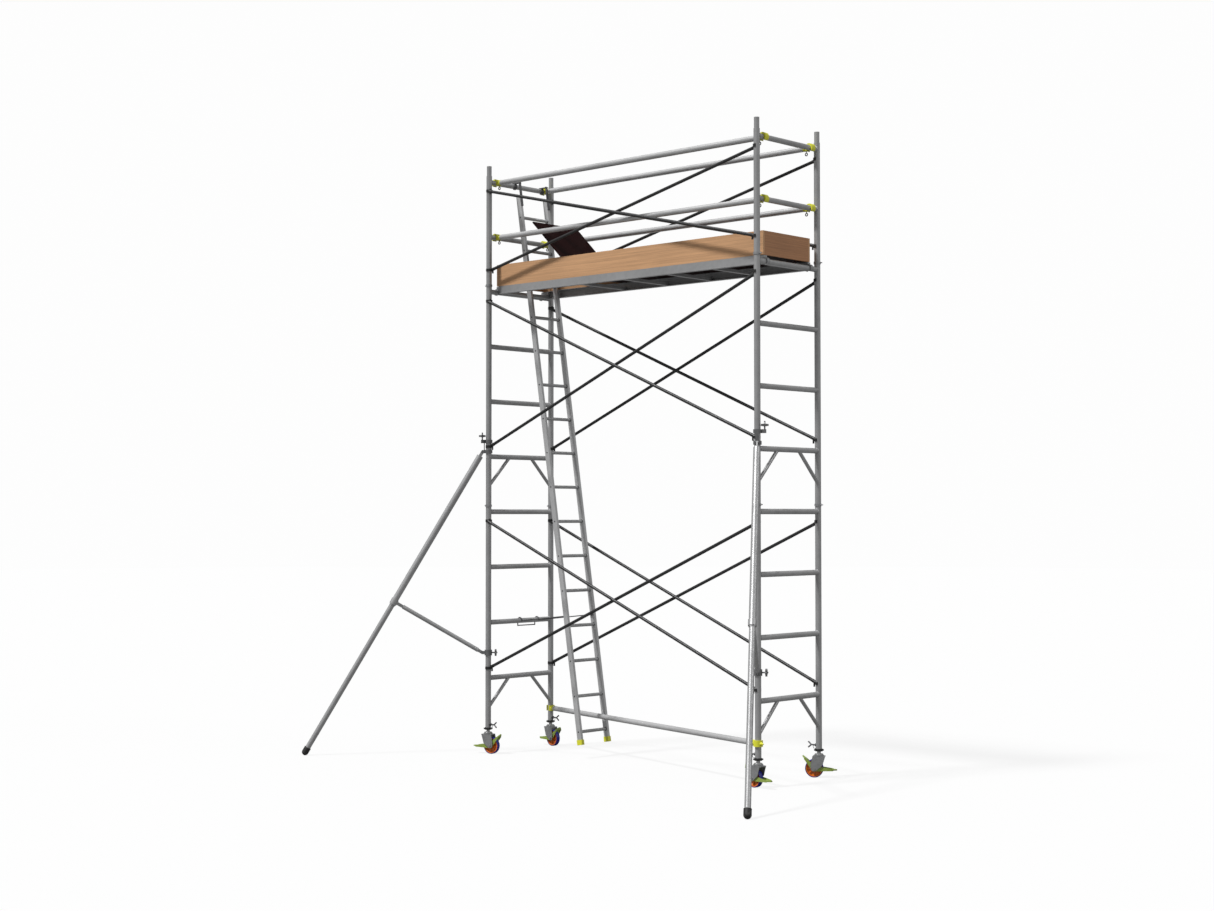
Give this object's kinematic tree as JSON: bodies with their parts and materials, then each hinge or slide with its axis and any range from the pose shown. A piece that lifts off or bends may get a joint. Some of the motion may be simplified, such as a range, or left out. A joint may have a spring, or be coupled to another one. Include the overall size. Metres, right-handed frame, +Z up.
{
  "type": "mobile scaffold tower",
  "caption": "Mobile aluminium access tower: ladder frames on braked castors, X bracing, trapdoor platform, toe boards, guardrails, sloping ladder and two stabilisers.",
  "frame": {"origin": "on the ground under the middle of the whole outline, stabiliser feet included", "axes": "+Z up the standards, +X along the platform from the ladder end to the other end, +Y from the stabilisers' side to the back"},
  "size_m": [5.1472, 2.1531, 5.325],
  "materials": {
    "aluminium_tube": "satin drawn tube with fine lengthwise lines",
    "aluminium_rail": "satin drawn tube, a little brighter",
    "dark_tube": "dark grey satin coat on the diagonal braces",
    "zinc_steel": "zinc plated, dull",
    "black_plastic": "moulded black nylon",
    "yellow_plastic": "moulded yellow nylon",
    "toe_board_timber": "pale plywood with fine lengthwise grain",
    "deck_plywood": "dark brown phenolic faced plywood",
    "spindle_steel": "bright zinc threaded stem",
    "hub_orange": "orange moulded wheel centre",
    "tyre_blue": "deep blue polyurethane tread",
    "pedal_lime": "olive lime coat, worn at the edges",
    "clamp_steel": "zinc plated forged coupler",
    "foot_rubber": "black rubber",
    "hook_steel": "dark plated flat bar"
  },
  "bodies": {
    "tower": {"lower_frame_left": "aluminium_tube", "lower_frame_right": "aluminium_tube", "upper_frame_left": "aluminium_tube", "upper_frame_right": "aluminium_tube", "guard_frame_left": "aluminium_tube", "guard_frame_right": "aluminium_tube", "interlock_clips": "zinc_steel", "diagonal_braces_front": "dark_tube", "diagonal_braces_back": "dark_tube", "brace_hooks": "black_plastic", "guardrails": "aluminium_rail", "rail_hooks": "yellow_plastic", "rail_triggers": "black_plastic", "plan_brace": "aluminium_rail", "plan_brace_hooks": "yellow_plastic", "platform_frame": "zinc_steel", "deck_board": "deck_plywood", "platform_claws": "zinc_steel", "toe_boards_long": "toe_board_timber", "toe_boards_end": "toe_board_timber", "ladder_stiles": "aluminium_rail", "ladder_rungs": "aluminium_tube", "ladder_feet": "yellow_plastic", "ladder_hooks": "hook_steel", "ladder_stay": "hook_steel", "spindle_nuts": "black_plastic", "wing_screws": "hook_steel"},
    "trapdoor": {"hatch": "deck_plywood"},
    "stem_lf": {"spindle_lf": "spindle_steel"},
    "castor_lf": {"fork_lf": "zinc_steel"},
    "wheel_lf": {"hub_lf": "hub_orange", "tyre_lf": "tyre_blue"},
    "brake_lf": {"pedal_lf": "pedal_lime"},
    "stem_lb": {"spindle_lb": "spindle_steel"},
    "castor_lb": {"fork_lb": "zinc_steel"},
    "wheel_lb": {"hub_lb": "hub_orange", "tyre_lb": "tyre_blue"},
    "brake_lb": {"pedal_lb": "pedal_lime"},
    "stem_rf": {"spindle_rf": "spindle_steel"},
    "castor_rf": {"fork_rf": "zinc_steel"},
    "wheel_rf": {"hub_rf": "hub_orange", "tyre_rf": "tyre_blue"},
    "brake_rf": {"pedal_rf": "pedal_lime"},
    "stem_rb": {"spindle_rb": "spindle_steel"},
    "castor_rb": {"fork_rb": "zinc_steel"},
    "wheel_rb": {"hub_rb": "hub_orange", "tyre_rb": "tyre_blue"},
    "brake_rb": {"pedal_rb": "pedal_lime"},
    "leg_clamp_left": {"leg_clamp_left": "clamp_steel"},
    "leg_left": {"leg_left": "aluminium_rail"},
    "leg_extension_left": {"leg_extension_left": "aluminium_rail", "leg_foot_left": "foot_rubber"},
    "strut_left": {"strut_left": "aluminium_tube"},
    "strut_clamp_left": {"strut_clamp_left": "clamp_steel"},
    "leg_clamp_right": {"leg_clamp_right": "clamp_steel"},
    "leg_right": {"leg_right": "aluminium_rail"},
    "leg_extension_right": {"leg_extension_right": "aluminium_rail", "leg_foot_right": "foot_rubber"},
    "strut_right": {"strut_right": "aluminium_tube"},
    "strut_clamp_right": {"strut_clamp_right": "clamp_steel"}
  },
  "joints": [
    {"name": "trapdoor_hinge", "type": "hinge", "parent": "tower", "child": "trapdoor", "pos_m": [-0.43604, 0.59023, 4.2555], "axis": [0, 1, 0], "range_deg": [-44.3, 60]},
    {"name": "stem_slide_lf", "type": "slide", "parent": "tower", "child": "stem_lf", "axis": [0, 0, -1], "range_m": [0, 0.2]},
    {"name": "swivel_lf", "type": "hinge", "parent": "stem_lf", "child": "castor_lf", "pos_m": [-1.43904, 0.19023, 0.177], "axis": [0, 0, 1], "continuous": true},
    {"name": "wheel_spin_lf", "type": "hinge", "parent": "castor_lf", "child": "wheel_lf", "pos_m": [-1.40233, 0.20006, 0.075], "axis": [0.2588, -0.9659, 0], "continuous": true},
    {"name": "brake_pedal_lf", "type": "hinge", "parent": "castor_lf", "child": "brake_lf", "pos_m": [-1.40233, 0.20006, 0.075], "axis": [0.2588, -0.9659, 0], "range_deg": [-18, 0]},
    {"name": "stem_slide_lb", "type": "slide", "parent": "tower", "child": "stem_lb", "axis": [0, 0, -1], "range_m": [0, 0.2]},
    {"name": "swivel_lb", "type": "hinge", "parent": "stem_lb", "child": "castor_lb", "pos_m": [-1.43904, 0.99023, 0.177], "axis": [0, 0, 1], "continuous": true},
    {"name": "wheel_spin_lb", "type": "hinge", "parent": "castor_lb", "child": "wheel_lb", "pos_m": [-1.40118, 0.98692, 0.075], "axis": [-0.0872, -0.9962, 0], "continuous": true},
    {"name": "brake_pedal_lb", "type": "hinge", "parent": "castor_lb", "child": "brake_lb", "pos_m": [-1.40118, 0.98692, 0.075], "axis": [-0.0872, -0.9962, 0], "range_deg": [-18, 0]},
    {"name": "stem_slide_rf", "type": "slide", "parent": "tower", "child": "stem_rf", "axis": [0, 0, -1], "range_m": [0, 0.2]},
    {"name": "swivel_rf", "type": "hinge", "parent": "stem_rf", "child": "castor_rf", "pos_m": [1.66096, 0.19023, 0.177], "axis": [0, 0, 1], "continuous": true},
    {"name": "wheel_spin_rf", "type": "hinge", "parent": "castor_rf", "child": "wheel_rf", "pos_m": [1.62324, 0.19486, 0.075], "axis": [0.1219, 0.9925, 0], "continuous": true},
    {"name": "brake_pedal_rf", "type": "hinge", "parent": "castor_rf", "child": "brake_rf", "pos_m": [1.62324, 0.19486, 0.075], "axis": [0.1219, 0.9925, 0], "range_deg": [-18, 0]},
    {"name": "stem_slide_rb", "type": "slide", "parent": "tower", "child": "stem_rb", "axis": [0, 0, -1], "range_m": [0, 0.2]},
    {"name": "swivel_rb", "type": "hinge", "parent": "stem_rb", "child": "castor_rb", "pos_m": [1.66096, 0.99023, 0.177], "axis": [0, 0, 1], "continuous": true},
    {"name": "wheel_spin_rb", "type": "hinge", "parent": "castor_rb", "child": "wheel_rb", "pos_m": [1.62839, 0.97066, 0.075], "axis": [-0.515, 0.8572, 0], "continuous": true},
    {"name": "brake_pedal_rb", "type": "hinge", "parent": "castor_rb", "child": "brake_rb", "pos_m": [1.62839, 0.97066, 0.075], "axis": [-0.515, 0.8572, 0], "range_deg": [-18, 0]},
    {"name": "leg_swing_left", "type": "hinge", "parent": "tower", "child": "leg_clamp_left", "pos_m": [-1.43904, 0.19023, 2.725], "axis": [0, 0, 1], "range_deg": [-25, 25]},
    {"name": "leg_lift_left", "type": "hinge", "parent": "leg_clamp_left", "child": "leg_left", "pos_m": [-1.47552, 0.15041, 2.725], "axis": [-0.7373, 0.6756, 0], "range_deg": [0, 45]},
    {"name": "leg_slide_left", "type": "slide", "parent": "leg_left", "child": "leg_extension_left", "axis": [-0.3418, -0.3731, -0.8625], "range_m": [-0.6, 0]},
    {"name": "strut_fold_left", "type": "hinge", "parent": "leg_left", "child": "strut_left", "pos_m": [-1.98367, -0.40413, 1.34603], "axis": [-0.7373, 0.6756, 0], "range_deg": [0, 88]},
    {"name": "strut_clamp_swing_left", "type": "hinge", "parent": "tower", "child": "strut_clamp_left", "pos_m": [-1.43904, 0.19023, 0.908], "axis": [0, 0, 1], "range_deg": [-25, 25]},
    {"name": "leg_swing_right", "type": "hinge", "parent": "tower", "child": "leg_clamp_right", "pos_m": [1.66096, 0.19023, 2.725], "axis": [0, 0, 1], "range_deg": [-25, 25]},
    {"name": "leg_lift_right", "type": "hinge", "parent": "leg_clamp_right", "child": "leg_right", "pos_m": [1.69232, 0.14627, 2.725], "axis": [-0.8141, -0.5807, 0], "range_deg": [0, 45]},
    {"name": "leg_slide_right", "type": "slide", "parent": "leg_right", "child": "leg_extension_right", "axis": [0.2775, -0.389, -0.8784], "range_m": [-0.6, 0]},
    {"name": "strut_fold_right", "type": "hinge", "parent": "leg_right", "child": "strut_right", "pos_m": [2.10298, -0.42946, 1.32243], "axis": [-0.8141, -0.5807, 0], "range_deg": [0, 88]},
    {"name": "strut_clamp_swing_right", "type": "hinge", "parent": "tower", "child": "strut_clamp_right", "pos_m": [1.66096, 0.19023, 0.908], "axis": [0, 0, 1], "range_deg": [-25, 25]}
  ],
  "couplings": [
    {"joint": "strut_clamp_swing_left", "follows": "leg_swing_left", "ratio": 1},
    {"joint": "strut_clamp_swing_right", "follows": "leg_swing_right", "ratio": 1}
  ]
}
